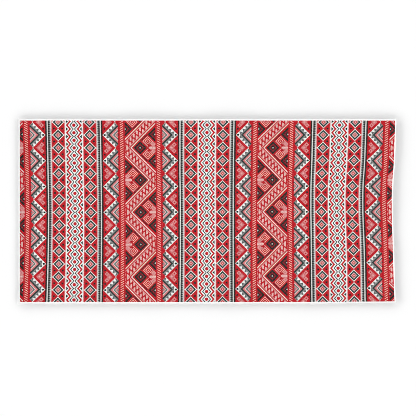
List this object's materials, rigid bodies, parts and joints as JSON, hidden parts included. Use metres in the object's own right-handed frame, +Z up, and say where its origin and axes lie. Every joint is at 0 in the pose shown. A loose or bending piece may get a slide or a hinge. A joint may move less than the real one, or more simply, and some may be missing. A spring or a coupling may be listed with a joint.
{
  "type": "beach towel",
  "caption": "Rectangular terry beach towel laid out flat, with a stitched hem all round and a printed face of folk-style geometric bands.",
  "frame": {"origin": "on the surface that the towel lies on, under the middle of its outline", "axes": "+X along the towel's length, +Y across its width, +Z up out of the printed face"},
  "size_m": [1.85, 0.9051, 0.0099],
  "materials": {
    "terry_cloth": "matte printed velour face, white looped terry back and white hem"
  },
  "bodies": {
    "root": {"towel": "terry_cloth"}
  },
  "joints": []
}
